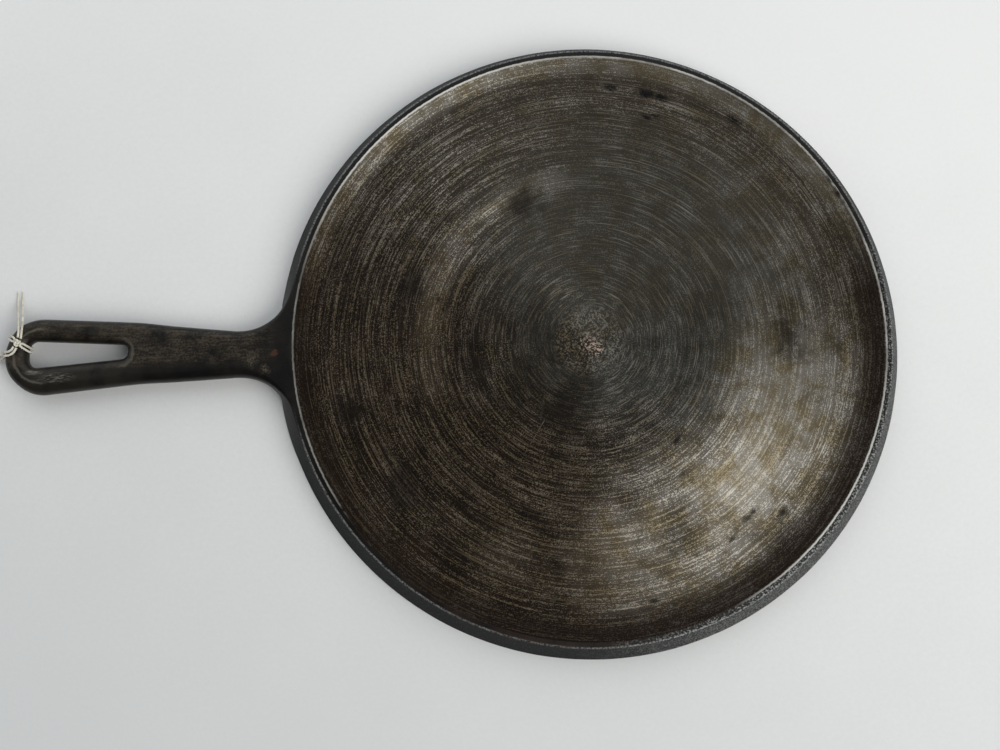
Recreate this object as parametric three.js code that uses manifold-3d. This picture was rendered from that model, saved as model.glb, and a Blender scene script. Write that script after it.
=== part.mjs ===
// Cast iron griddle with a long handle, and the cotton string tied through the eye of the handle.
// Millimetres, +Z up. The origin lies on the table under the middle of the casting's box,
// with the handle along -X.
import * as THREE from "three";
import { mergeVertices } from "three/addons/utils/BufferGeometryUtils.js";
import Module from "manifold-3d";

const wasm = await Module();
wasm.setup();

// Plate: rim, dish and skirt
const footDiameter = 311;
const rimDiameter = 299.4;
const rimWidth = 3.2;
const rimHeight = 13;
const dishDepth = 4.6;
const dishCornerRun = 13;
const plateThickness = 5;
const footWidth = 4.2;
const skirtInnerRun = 4.6;
const rimEdgeRound = 0.8;
const footEdgeRound = 1;

// Handle, measured from the middle of the plate
const handleReach = 288.6;
const handleEndWidth = 37.8;
const handleNeckWidth = 23.2;
const handleThickness = 10;
const handleRound = 4.5;
const handleFlat = 1;
const rootFillet = 26;
const rootDepth = 12;

// Eye of the handle
const endBarWidth = 11;
const eyeLength = 49.4;
const eyeWideEnd = 14;
const eyeNarrowEnd = 7;
const eyeWideCorner = 4.6;
const eyeNarrowCorner = 3.2;

// String, tied round the end bar where that bends towards +Y
const stringDiameter = 1.2;
const stringClearance = 0.5;
const jointGap = 0.3;
const tieAngle = THREE.MathUtils.degToRad(24);
const turnStart = THREE.MathUtils.degToRad(56);
const turnSweep = THREE.MathUtils.degToRad(304);
const turnSpacing = 1.9;
const turnShift = 0.55;
const turnLean = 2.4;
const knotLength = 4.4;
const knotWidth = 3.6;
const knotHeight = 2.8;
const knotInset = 0.9;
const knotShift = 1.5;
const strandSpacing = 1.6;

// Fineness of the facets
const roundSteps = 128;
const cornerSteps = 7;
const arcSteps = 8;
const pointSpacing = 0.01;
const edgeSteps = 5;
const turnSteps = 24;
const turnSides = 6;
const loopSteps = 44;
const tailSteps = 12;
const stringSides = 8;

// Sizes that follow from the ones above
const footRadius = footDiameter / 2;
const rimRadius = rimDiameter / 2;
const lipRadius = rimRadius - rimWidth;
const surfaceHeight = rimHeight - dishDepth;
const undersideHeight = surfaceHeight - plateThickness;
const handleBottom = rimHeight - handleThickness;
const handleMiddle = rimHeight - handleThickness / 2;
const endRadius = handleEndWidth / 2;
const endCentre = -(handleReach - endRadius);
const stringRadius = stringDiameter / 2;
const middleOfBox = (footRadius - handleReach) / 2;

const iron = new THREE.MeshStandardMaterial({ color: 0x2e2b28, roughness: 0.55, metalness: 0.6 });
const cotton = new THREE.MeshStandardMaterial({ color: 0xd9d5c8, roughness: 0.95, metalness: 0 });

// A closed geometry as a solid that can be joined and cut.
function solidOf(geometry) {
  const bare = geometry.clone();
  bare.deleteAttribute("normal");
  bare.deleteAttribute("uv");
  const merged = mergeVertices(bare, 1e-4);
  return new wasm.Manifold(
    new wasm.Mesh({
      numProp: 3,
      vertProperties: merged.attributes.position.array,
      triVerts: new Uint32Array(merged.index.array),
    }),
  );
}

function geometryOf(solid) {
  const mesh = solid.getMesh();
  const geometry = new THREE.BufferGeometry();
  geometry.setAttribute("position", new THREE.BufferAttribute(mesh.vertProperties, 3));
  geometry.setIndex(new THREE.BufferAttribute(mesh.triVerts, 1));
  geometry.computeVertexNormals();
  return geometry;
}

// A body of revolution about Z from a profile of (radius, height) points, drawn upwards on the outside.
function revolve(profile) {
  const points = profile.map(([radius, height]) => new THREE.Vector2(radius, height));
  return new THREE.LatheGeometry(points, roundSteps).rotateX(Math.PI / 2);
}

// The plate as a solid drum: flat foot, flared skirt and flat rim, before the dish and the hollow are cut.
function plateDrum() {
  return revolve([
    [0, 0],
    [footRadius - footEdgeRound, 0],
    [footRadius, footEdgeRound],
    [rimRadius, rimHeight - rimEdgeRound],
    [rimRadius - rimEdgeRound, rimHeight],
    [0, rimHeight],
  ]);
}

// The space over the cooking surface, whose corner curves up to the lip and runs on past the rim.
function dishSpace() {
  const cornerRadius = (dishCornerRun ** 2 + dishDepth ** 2) / (2 * dishDepth);
  const lipAngle = Math.asin(dishCornerRun / cornerRadius);
  const profile = [[0, surfaceHeight]];
  for (let step = 0; step <= cornerSteps; step += 1) {
    const angle = (lipAngle * step) / cornerSteps;
    const radius = lipRadius - dishCornerRun + cornerRadius * Math.sin(angle);
    profile.push([radius, surfaceHeight + cornerRadius * (1 - Math.cos(angle))]);
  }
  profile.push([lipRadius, rimHeight + dishDepth]);
  profile.push([0, rimHeight + dishDepth]);
  return revolve(profile);
}

// The hollow under the plate, inside the ring of the skirt that stands on the stove.
function undersideSpace() {
  const footInner = footRadius - footWidth;
  const slope = skirtInnerRun / undersideHeight;
  return revolve([
    [0, -undersideHeight],
    [footInner + skirtInnerRun, -undersideHeight],
    [footInner - slope * (undersideHeight - rimEdgeRound), undersideHeight - rimEdgeRound],
    [footInner - skirtInnerRun - rimEdgeRound, undersideHeight],
    [0, undersideHeight],
  ]);
}

// The plan of the handle: round end, straight sides and fillets that run into the skirt of the plate.
function handlePlan() {
  const share = (rimHeight - handleMiddle) / (rimHeight - footEdgeRound);
  const skirtRadius = rimRadius + (footRadius - rimRadius) * share;
  const filletY = handleNeckWidth / 2 + rootFillet;
  const filletX = -Math.sqrt((skirtRadius + rootFillet) ** 2 - filletY ** 2);
  const between = Math.hypot(filletX - endCentre, filletY);
  const sideAngle = Math.atan2(filletY, filletX - endCentre) + Math.acos((endRadius + rootFillet) / between);
  const rootAngle = Math.atan2(-filletY, -filletX);
  const rootRadius = skirtRadius - rootDepth;
  const rootTurn = Math.atan2(filletY, -filletX);
  const plan = new THREE.Shape();
  plan.absarc(endCentre, 0, endRadius, sideAngle, 2 * Math.PI - sideAngle, false);
  plan.absarc(filletX, -filletY, rootFillet, Math.PI - sideAngle, -rootAngle, true);
  plan.absarc(0, 0, rootRadius, Math.PI + rootTurn, Math.PI - rootTurn, true);
  plan.absarc(filletX, filletY, rootFillet, rootAngle, sideAngle - Math.PI, true);
  const outline = new THREE.Shape(separatePoints(plan));
  outline.holes.push(new THREE.Path(separatePoints(eyePlan())));
  return outline;
}

// The points of an outline, without the doubles that lie where one stretch meets the next.
function separatePoints(path) {
  const points = path.getPoints(arcSteps);
  return points.filter((point, index) => point.distanceTo(points.at(index - 1)) > pointSpacing);
}

// A closed outline through corners [x, y, radius], listed anticlockwise, with each corner rounded.
function roundedOutline(corners) {
  const path = new THREE.Path();
  corners.forEach(([x, y, radius], index) => {
    const corner = new THREE.Vector2(x, y);
    const before = new THREE.Vector2(...corners.at(index - 1).slice(0, 2)).sub(corner).normalize();
    const after = new THREE.Vector2(...corners[(index + 1) % corners.length].slice(0, 2)).sub(corner).normalize();
    const half = Math.acos(before.dot(after)) / 2;
    const centre = before.clone().add(after).normalize().multiplyScalar(radius / Math.sin(half)).add(corner);
    const start = Math.atan2(-before.x, before.y);
    const turn = Math.PI - 2 * half;
    path.absarc(centre.x, centre.y, radius, start + Math.PI, start + Math.PI + turn, false);
  });
  path.closePath();
  return path;
}

// The eye: a tapered slot, wide next to the end bar.
function eyePlan() {
  const wideX = -(handleReach - endBarWidth);
  const narrowX = wideX + eyeLength;
  return roundedOutline([
    [wideX, eyeWideEnd / 2, eyeWideCorner],
    [wideX, -eyeWideEnd / 2, eyeWideCorner],
    [narrowX, -eyeNarrowEnd / 2, eyeNarrowCorner],
    [narrowX, eyeNarrowEnd / 2, eyeNarrowCorner],
  ]);
}

// The thinnest wall between the outline of the handle and its eye.
function leastWall(plan) {
  const outside = plan.getPoints();
  const inside = plan.holes[0].getPoints();
  return Math.min(...inside.flatMap((point) => outside.map((other) => point.distanceTo(other))));
}

// The handle: its plan with rounded edges all round, level with the rim.
// The rounding leaves a flat on the thinnest wall and on the sides.
function handleBar() {
  const plan = handlePlan();
  const round = Math.min(handleRound, (Math.min(leastWall(plan), handleThickness) - handleFlat) / 2);
  const bar = new THREE.ExtrudeGeometry(plan, {
    depth: handleThickness - 2 * round,
    bevelEnabled: true,
    bevelThickness: round,
    bevelSize: round,
    bevelOffset: -round,
    bevelSegments: edgeSteps,
  });
  return bar.translate(0, 0, handleBottom + round);
}

function griddleCasting() {
  const blank = solidOf(plateDrum()).add(solidOf(handleBar()));
  const cast = blank.subtract(solidOf(dishSpace())).subtract(solidOf(undersideSpace()));
  return geometryOf(cast);
}

// A round string along a curve.
function stringAlong(curve, steps, sides) {
  const section = new THREE.Shape();
  for (let side = 0; side < sides; side += 1) {
    const angle = (2 * Math.PI * side) / sides;
    const x = stringRadius * Math.cos(angle);
    const y = stringRadius * Math.sin(angle);
    if (side === 0) section.moveTo(x, y);
    else section.lineTo(x, y);
  }
  section.closePath();
  return new THREE.ExtrudeGeometry(section, { steps, extrudePath: curve, bevelEnabled: false });
}

// Where the string is tied: outwards across the end bar, along the bar, and the half axes of a turn round it.
const across = new THREE.Vector3(-Math.cos(tieAngle), Math.sin(tieAngle), 0);
const along = new THREE.Vector3(Math.sin(tieAngle), Math.cos(tieAngle), 0);
const barInner = (endRadius - endBarWidth) / Math.cos(tieAngle);
const turnMiddle = (endRadius + barInner) / 2;
const turnWidth = (endRadius - barInner) / 2 + stringClearance + stringRadius;
const turnHeight = handleThickness / 2 + stringClearance + stringRadius;

// A point over the end bar from its distances across the bar, along it and above the table.
function pointAtTie(acrossBar, alongBar, height) {
  const point = new THREE.Vector3(endCentre, 0, height);
  return point.addScaledVector(across, acrossBar).addScaledVector(along, alongBar);
}

// One turn round the bar, with straight ends: from the knot down through the eye, under the bar and up its outside.
class TurnCurve extends THREE.Curve {
  constructor(alongBar) {
    super();
    this.alongBar = alongBar;
  }

  pointAtAngle(angle) {
    const lean = (turnLean * (1 - Math.cos(angle))) / 2;
    const acrossBar = turnMiddle - turnWidth * Math.cos(angle);
    return pointAtTie(acrossBar, this.alongBar + lean, handleMiddle + turnHeight * Math.sin(angle));
  }

  headingAtAngle(angle) {
    const slope = Math.sin(angle);
    const heading = new THREE.Vector3(0, 0, -turnHeight * Math.cos(angle));
    heading.addScaledVector(across, -turnWidth * slope).addScaledVector(along, (-turnLean * slope) / 2);
    return heading.normalize();
  }

  getPoint(t, target = new THREE.Vector3()) {
    const windingLength = (turnSweep * (turnWidth + turnHeight)) / 2;
    const travelled = t * (windingLength + 2 * stringDiameter) - stringDiameter;
    const wound = THREE.MathUtils.clamp(travelled / windingLength, 0, 1);
    const angle = turnStart - turnSweep * wound;
    const straight = travelled - wound * windingLength;
    return target.copy(this.pointAtAngle(angle)).addScaledVector(this.headingAtAngle(angle), straight);
  }
}

const upperTurn = new TurnCurve(turnShift + turnSpacing / 2);
const lowerTurn = new TurnCurve(turnShift - turnSpacing / 2);
const wholeTurnSteps = Math.ceil((turnSteps * turnSweep) / (2 * Math.PI)) + 2;

// The least gap between the two turns, measured on points along them.
function leastTurnGap() {
  const upper = upperTurn.getSpacedPoints(wholeTurnSteps * 4);
  const lower = lowerTurn.getSpacedPoints(wholeTurnSteps * 4);
  const distances = upper.flatMap((point) => lower.map((other) => point.distanceTo(other)));
  return Math.min(...distances) - stringDiameter;
}

// The knot on top of the bar, between the ends of the turns.
const knotAcross = turnMiddle - knotInset;
const knotZ = rimHeight + jointGap + knotHeight / 2;

function knotBall() {
  const ball = new THREE.SphereGeometry(0.5, stringSides + 4, stringSides);
  ball.scale(knotWidth, knotLength, knotHeight).rotateZ(-tieAngle);
  const centre = pointAtTie(knotAcross, knotShift, knotZ);
  return ball.translate(centre.x, centre.y, centre.z);
}

// Where a strand leaves the knot, on the face towards the tails (+1) or towards the loop (-1).
function knotExit(face, side) {
  const faceAlong = knotShift + face * (knotLength / 2 + jointGap);
  return pointAtTie(knotAcross + (side * strandSpacing) / 2, faceAlong, knotZ);
}

// The doubled string: both strands run from the knot over the outside of the bar, and meet in a bend on the table.
// Its points are x past the end of the handle, y, and z over the table.
function loopCurve() {
  const between = [
    [-5, 3.2, 14.5],
    [-3.3, 2.4, 14],
    [-1.4, 2.3, 12.9],
    [0.3, 2.3, 10.9],
    [1.3, 2.3, 8],
    [2.7, 2.3, 4.8],
    [5.3, 2.4, 2],
    [9.2, 2.6, 0.8],
    [14.4, 3.3, 0.75],
    [19.7, 4.4, 0.75],
    [24.6, 4.6, 0.75],
    [28.4, 3.5, 0.75],
    [29.8, 1, 0.75],
    [28.4, -1.5, 0.75],
    [24.6, -2.6, 0.75],
    [19.7, -2.2, 0.75],
    [14.4, -0.9, 0.75],
    [9.2, 0.2, 0.8],
    [5.3, 0.6, 2],
    [2.7, 0.6, 4.8],
    [1.3, 0.6, 8],
    [0.3, 0.6, 11.1],
    [-1.5, 0.6, 13.1],
    [-3.8, 0.6, 14.1],
    [-6.1, 1.9, 14.6],
  ].map(([past, y, z]) => new THREE.Vector3(-handleReach - past, y, z));
  return new THREE.CatmullRomCurve3([knotExit(-1, 1), ...between, knotExit(-1, -1)]);
}

// A cut tail of the string, from the knot over the edge of the bar down to the table.
// Its points are x and y from where it leaves the knot, and z over the table.
function tailCurve(side, route) {
  const exit = knotExit(1, side);
  const points = route.map(([x, y, z]) => new THREE.Vector3(exit.x + x, exit.y + y, z));
  return new THREE.CatmullRomCurve3([exit, ...points]);
}

const tailLeftRoute = [
  [0.1, 2.8, 14.3],
  [-0.7, 6.1, 12.4],
  [-2.5, 10.5, 8.4],
  [-4.3, 14.9, 4.4],
  [-5.4, 18.6, 1.8],
  [-5.9, 21.9, 0.75],
  [-6, 25.8, 0.75],
];
const tailRightRoute = [
  [0.1, 3.4, 14.2],
  [-0.5, 7.9, 11.8],
  [-2, 12.2, 7.8],
  [-3.5, 16.3, 4.2],
  [-4.5, 19.9, 1.8],
  [-5, 23, 0.75],
  [-5.2, 26.6, 0.75],
];

const griddle = new THREE.Group();
griddle.position.x = -middleOfBox;

function addPart(name, geometry, material) {
  const mesh = new THREE.Mesh(geometry, material);
  mesh.name = name;
  griddle.add(mesh);
}

addPart("griddle_casting", griddleCasting(), iron);
addPart("string_turn_upper", stringAlong(upperTurn, wholeTurnSteps, turnSides), cotton);
addPart("string_turn_lower", stringAlong(lowerTurn, wholeTurnSteps, turnSides), cotton);
addPart("string_knot", knotBall(), cotton);
addPart("string_loop", stringAlong(loopCurve(), loopSteps, stringSides), cotton);
addPart("string_tail_left", stringAlong(tailCurve(1, tailLeftRoute), tailSteps, stringSides), cotton);
addPart("string_tail_right", stringAlong(tailCurve(-1, tailRightRoute), tailSteps, stringSides), cotton);

console.log("least gap between the two turns of the string:", leastTurnGap().toFixed(2), "mm");
const cordLengths = [loopCurve(), tailCurve(1, tailLeftRoute), tailCurve(-1, tailRightRoute)].map((c) => c.getLength());
console.log("loop and tails, length:", cordLengths.map((length) => length.toFixed(1)).join(", "), "mm");

export default griddle;
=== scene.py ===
"""Looks of a cast iron griddle with a cotton string through the eye of its handle."""

import math
from collections import namedtuple

import bmesh
import bpy
from mathutils import Matrix, Vector, noise


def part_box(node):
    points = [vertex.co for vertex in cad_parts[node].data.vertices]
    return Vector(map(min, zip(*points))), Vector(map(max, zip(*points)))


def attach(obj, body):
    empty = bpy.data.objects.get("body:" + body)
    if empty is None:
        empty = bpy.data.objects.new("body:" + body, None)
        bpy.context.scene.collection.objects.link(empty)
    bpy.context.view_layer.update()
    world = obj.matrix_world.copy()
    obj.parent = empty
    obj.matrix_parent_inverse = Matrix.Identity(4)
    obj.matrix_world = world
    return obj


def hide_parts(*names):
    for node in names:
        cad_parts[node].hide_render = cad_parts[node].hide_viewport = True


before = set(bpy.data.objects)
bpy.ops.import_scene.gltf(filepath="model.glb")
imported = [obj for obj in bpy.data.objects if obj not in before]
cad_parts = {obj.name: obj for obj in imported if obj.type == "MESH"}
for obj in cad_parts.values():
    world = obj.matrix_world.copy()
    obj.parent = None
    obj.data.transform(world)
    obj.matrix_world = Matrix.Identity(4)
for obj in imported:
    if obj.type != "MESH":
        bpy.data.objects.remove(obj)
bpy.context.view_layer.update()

MM = 0.001
MERGE_DISTANCE = 1e-6
LEAST_EDGE = 1e-7
SEAM_SLACK = 1e-9

# Plate, in metres about its own middle: rim, dish and skirt.
casting_low, casting_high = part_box("griddle_casting")
FOOT_RADIUS = (casting_high[1] - casting_low[1]) / 2
PLATE_X = casting_high[0] - FOOT_RADIUS
RIM_HEIGHT = casting_high[2]
HANDLE_REACH = PLATE_X - casting_low[0]
RIM_RADIUS = 149.7 * MM
RIM_WIDTH = 3.2 * MM
LIP_RADIUS = RIM_RADIUS - RIM_WIDTH
DISH_DEPTH = 4.6 * MM
DISH_CORNER_RUN = 13 * MM
PLATE_THICKNESS = 5 * MM
FOOT_WIDTH = 4.2 * MM
SKIRT_INNER_RUN = 4.6 * MM
RIM_EDGE_ROUND = 0.8 * MM
FOOT_EDGE_ROUND = 1 * MM
SURFACE_HEIGHT = RIM_HEIGHT - DISH_DEPTH
UNDERSIDE_HEIGHT = SURFACE_HEIGHT - PLATE_THICKNESS

# Handle and its eye.
HANDLE_END_WIDTH = 37.8 * MM
HANDLE_NECK_WIDTH = 23.2 * MM
HANDLE_THICKNESS = 10 * MM
HANDLE_ROUND = 4.5 * MM
ROOT_FILLET = 26 * MM
END_BAR_WIDTH = 11 * MM
EYE_LENGTH = 49.4 * MM
EYE_WIDE_END = 14 * MM
EYE_NARROW_END = 7 * MM
EYE_WIDE_CORNER = 4.6 * MM
EYE_NARROW_CORNER = 3.2 * MM
HANDLE_BOTTOM = RIM_HEIGHT - HANDLE_THICKNESS
HANDLE_MIDDLE = RIM_HEIGHT - HANDLE_THICKNESS / 2
END_RADIUS = HANDLE_END_WIDTH / 2
END_CENTRE = END_RADIUS - HANDLE_REACH
FLARE = (FOOT_RADIUS - RIM_RADIUS) / (RIM_HEIGHT - FOOT_EDGE_ROUND)
SKIRT_RADIUS = RIM_RADIUS + FLARE * (RIM_HEIGHT - HANDLE_MIDDLE)

# String.
STRING_DIAMETER = 1.2 * MM
STRING_RADIUS = STRING_DIAMETER / 2
STRING_CLEARANCE = 0.5 * MM
JOINT_GAP = 0.3 * MM
TIE_ANGLE = math.radians(24)
TURN_START = math.radians(56)
TURN_SWEEP = math.radians(304)
TURN_SPACING = 1.9 * MM
TURN_SHIFT = 0.55 * MM
TURN_LEAN = 2.4 * MM
KNOT_LENGTH = 4.4 * MM
KNOT_WIDTH = 3.6 * MM
KNOT_HEIGHT = 2.8 * MM
KNOT_INSET = 0.9 * MM
KNOT_SHIFT = 1.5 * MM
STRAND_SPACING = 1.6 * MM


def smooth(share):
    """Eases a share from 0 to 1, level at both ends."""
    share = min(max(share, 0.0), 1.0)
    return share * share * (3 - 2 * share)


def between(first, last, share):
    return first + (last - first) * share


# Camera: eye over the plate, in millimetres about the middle of the plate, and its three turns in degrees.
CAMERA_EYE = Vector((-50.0, -102.2, 589.0)) * MM
CAMERA_TURN = Vector((8.45, -0.37, -1.84))
CAMERA_LENS = 42.77
CAMERA_NEAREST = 10 * MM


def make_camera():
    camera_data = bpy.data.cameras.new("camera")
    camera_data.lens = CAMERA_LENS
    camera_data.clip_start = CAMERA_NEAREST
    camera = bpy.data.objects.new("camera", camera_data)
    bpy.context.collection.objects.link(camera)
    turn = Matrix.Rotation(math.radians(CAMERA_TURN.length), 4, CAMERA_TURN.normalized())
    camera.matrix_world = Matrix.Translation(CAMERA_EYE + Vector((PLATE_X, 0, 0))) @ turn
    bpy.context.scene.camera = camera


make_camera()


def piece_from_patches(name, patches):
    """One mesh from grids of points, with the points that coincide merged."""
    mesh = bpy.data.meshes.new(name)
    builder = bmesh.new()
    for patch in patches:
        rows = [[builder.verts.new(point) for point in row] for row in patch]
        for row, following in zip(rows, rows[1:]):
            for index in range(len(row) - 1):
                builder.faces.new((row[index], row[index + 1], following[index + 1], following[index]))
    bmesh.ops.remove_doubles(builder, verts=builder.verts, dist=MERGE_DISTANCE)
    bmesh.ops.dissolve_degenerate(builder, edges=builder.edges, dist=LEAST_EDGE)
    bmesh.ops.recalc_face_normals(builder, faces=builder.faces)
    for face in builder.faces:
        face.smooth = True
    builder.to_mesh(mesh)
    builder.free()
    piece = bpy.data.objects.new(name, mesh)
    bpy.context.collection.objects.link(piece)
    return piece


# The string, as twisted strands along its routes.
STRAND_LAY = 3.4 * MM
STRAND_PLIES = 3
STRAND_GROOVE = 0.13
STRAND_SIDES = 18
STRAND_STEP = 0.22 * MM
ROUTE_STEPS = 24
TURN_STEPS = 96
KNOT_STEPS = 120
KNOT_TUCK = 0.6
TIP_SHARE = 0.62
TIP_LENGTH = 7 * MM

across = Vector((-math.cos(TIE_ANGLE), math.sin(TIE_ANGLE), 0))
along = Vector((math.sin(TIE_ANGLE), math.cos(TIE_ANGLE), 0))
bar_inner = (END_RADIUS - END_BAR_WIDTH) / math.cos(TIE_ANGLE)
turn_middle = (END_RADIUS + bar_inner) / 2
turn_width = (END_RADIUS - bar_inner) / 2 + STRING_CLEARANCE + STRING_RADIUS
turn_height = HANDLE_THICKNESS / 2 + STRING_CLEARANCE + STRING_RADIUS
knot_across = turn_middle - KNOT_INSET
knot_z = RIM_HEIGHT + JOINT_GAP + KNOT_HEIGHT / 2


def point_at_tie(across_bar, along_bar, height):
    """A point over the end bar from its distances across the bar, along it and above the table."""
    return Vector((PLATE_X + END_CENTRE, 0, height)) + across * across_bar + along * along_bar


def knot_exit(face, side):
    """Where a strand leaves the knot, on the face towards the tails (+1) or towards the loop (-1)."""
    face_along = KNOT_SHIFT + face * (KNOT_LENGTH / 2 + JOINT_GAP)
    return point_at_tie(knot_across + side * STRAND_SPACING / 2, face_along, knot_z)


def route_through(points):
    """A smooth centripetal curve through points, sampled at even steps."""
    before = points[0] * 2 - points[1]
    after = points[-1] * 2 - points[-2]
    padded = [before, *points, after]
    dense = []
    for p0, p1, p2, p3 in zip(padded, padded[1:], padded[2:], padded[3:]):
        t1 = (p1 - p0).length ** 0.5
        t2 = t1 + (p2 - p1).length ** 0.5
        t3 = t2 + (p3 - p2).length ** 0.5
        for step in range(ROUTE_STEPS):
            t = between(t1, t2, step / ROUTE_STEPS)
            a1 = p0.lerp(p1, t / t1)
            a2 = p1.lerp(p2, (t - t1) / (t2 - t1))
            a3 = p2.lerp(p3, (t - t2) / (t3 - t2))
            b1 = a1.lerp(a2, t / t2)
            b2 = a2.lerp(a3, (t - t1) / (t3 - t1))
            dense.append(b1.lerp(b2, (t - t1) / (t2 - t1)))
    dense.append(points[-1])
    return evenly_spaced(dense, STRAND_STEP)


def distances(points):
    """How far along a path each of its points lies."""
    travelled = [0.0]
    for first, second in zip(points, points[1:]):
        travelled.append(travelled[-1] + (second - first).length)
    return travelled


def evenly_spaced(points, step):
    travelled = distances(points)
    count = max(2, round(travelled[-1] / step))
    spaced = []
    index = 0
    for number in range(count + 1):
        target = travelled[-1] * number / count
        while index < len(points) - 2 and travelled[index + 1] < target:
            index += 1
        share = (target - travelled[index]) / (travelled[index + 1] - travelled[index])
        spaced.append(points[index].lerp(points[index + 1], share))
    return spaced


def route_length(route):
    return sum((second - first).length for first, second in zip(route, route[1:]))


def strand_rings(route, tapered):
    """Rings of a twisted strand along a route, thinner towards its last end where it is tapered."""
    rings = []
    direction = (route[1] - route[0]).normalized()
    side = direction.orthogonal().normalized()
    travelled = 0.0
    whole = route_length(route)
    for index, point in enumerate(route):
        ahead = route[min(index + 1, len(route) - 1)]
        behind = route[max(index - 1, 0)]
        heading = (ahead - behind).normalized()
        side = (side - heading * side.dot(heading)).normalized()
        other = heading.cross(side)
        if index:
            travelled += (point - route[index - 1]).length
        twist = 2 * math.pi * travelled / STRAND_LAY
        thinning = 1.0
        if tapered:
            thinning = between(TIP_SHARE, 1.0, smooth((whole - travelled) / TIP_LENGTH))
        ring = []
        for number in range(STRAND_SIDES + 1):
            angle = 2 * math.pi * (number % STRAND_SIDES) / STRAND_SIDES
            lobe = 1 - STRAND_GROOVE * (1 + math.cos(STRAND_PLIES * (angle - twist)))
            radius = STRING_RADIUS * lobe * thinning
            ring.append(point + (side * math.cos(angle) + other * math.sin(angle)) * radius)
        rings.append(ring)
    return rings


def make_strand(name, route, tapered=False):
    """A strand along a route, with both ends closed to a point."""
    rings = strand_rings(route, tapered)
    first = [route[0]] * len(rings[0])
    last = [route[-1]] * len(rings[0])
    return piece_from_patches(name, [[first, *rings, last]])


def turn_route(along_bar):
    """One turn round the end bar: from the knot through the eye, under the bar and up its outside."""
    points = []
    for step in range(TURN_STEPS + 1):
        angle = TURN_START - TURN_SWEEP * step / TURN_STEPS
        lean = TURN_LEAN * (1 - math.cos(angle)) / 2
        across_bar = turn_middle - turn_width * math.cos(angle)
        height = HANDLE_MIDDLE + turn_height * math.sin(angle)
        points.append(point_at_tie(across_bar, along_bar + lean, height))
    knot = point_at_tie(knot_across, KNOT_SHIFT, knot_z)
    first = points[0].lerp(knot, KNOT_TUCK)
    last = points[-1].lerp(knot, KNOT_TUCK)
    return evenly_spaced([first, *points, last], STRAND_STEP)


# The loop: x past the end of the handle, y, and z over the table, in millimetres.
LOOP_POINTS = (
    (-5, 3.2, 14.5),
    (-3.3, 2.4, 14),
    (-1.4, 2.3, 12.9),
    (0.3, 2.3, 10.9),
    (1.3, 2.3, 8),
    (2.7, 2.3, 4.8),
    (5.3, 2.4, 2),
    (9.2, 2.6, 0.8),
    (14.4, 3.3, 0.75),
    (19.7, 4.4, 0.75),
    (24.6, 4.6, 0.75),
    (28.4, 3.5, 0.75),
    (29.8, 1, 0.75),
    (28.4, -1.5, 0.75),
    (24.6, -2.6, 0.75),
    (19.7, -2.2, 0.75),
    (14.4, -0.9, 0.75),
    (9.2, 0.2, 0.8),
    (5.3, 0.6, 2),
    (2.7, 0.6, 4.8),
    (1.3, 0.6, 8),
    (0.3, 0.6, 11.1),
    (-1.5, 0.6, 13.1),
    (-3.8, 0.6, 14.1),
    (-6.1, 1.9, 14.6),
)

# The tails: x and y from where each leaves the knot, and z over the table, in millimetres.
TAIL_LEFT_POINTS = (
    (0.1, 2.8, 14.3),
    (-0.7, 6.1, 12.4),
    (-2.5, 10.5, 8.4),
    (-4.3, 14.9, 4.4),
    (-5.4, 18.6, 1.8),
    (-5.9, 21.9, 0.75),
    (-6, 25.8, 0.75),
)
TAIL_RIGHT_POINTS = (
    (0.1, 3.4, 14.2),
    (-0.5, 7.9, 11.8),
    (-2, 12.2, 7.8),
    (-3.5, 16.3, 4.2),
    (-4.5, 19.9, 1.8),
    (-5, 23, 0.75),
    (-5.2, 26.6, 0.75),
)


def loop_route():
    points = [Vector((PLATE_X - HANDLE_REACH - past * MM, y * MM, z * MM)) for past, y, z in LOOP_POINTS]
    return route_through([knot_exit(-1, 1), *points, knot_exit(-1, -1)])


def tail_route(side, tail_points):
    exit_point = knot_exit(1, side)
    points = [Vector((exit_point.x + x * MM, exit_point.y + y * MM, z * MM)) for x, y, z in tail_points]
    return route_through([exit_point, *points])


def knot_route():
    """A closed trefoil squeezed into the knot's size."""
    reach = 3.0
    points = []
    for step in range(KNOT_STEPS + 1):
        angle = 2 * math.pi * step / KNOT_STEPS
        wide = (math.sin(angle) + 2 * math.sin(2 * angle)) / reach
        long = (math.cos(angle) - 2 * math.cos(2 * angle)) / reach
        high = -math.sin(3 * angle)
        across_bar = knot_across + wide * (KNOT_WIDTH / 2 - STRING_RADIUS)
        along_bar = KNOT_SHIFT + long * (KNOT_LENGTH / 2 - STRING_RADIUS)
        points.append(point_at_tie(across_bar, along_bar, knot_z + high * (KNOT_HEIGHT / 2 - STRING_RADIUS)))
    return evenly_spaced(points, STRAND_STEP)


loop_path = loop_route()
tail_left_path = tail_route(1, TAIL_LEFT_POINTS)
tail_right_path = tail_route(-1, TAIL_RIGHT_POINTS)
string_loop = make_strand("cotton_loop", loop_path)
string_tail_left = make_strand("cotton_tail_left", tail_left_path, tapered=True)
string_tail_right = make_strand("cotton_tail_right", tail_right_path, tapered=True)
string_turn_upper = make_strand("cotton_turn_upper", turn_route(TURN_SHIFT + TURN_SPACING / 2))
string_turn_lower = make_strand("cotton_turn_lower", turn_route(TURN_SHIFT - TURN_SPACING / 2))
string_knot = make_strand("cotton_knot", knot_route())


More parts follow.
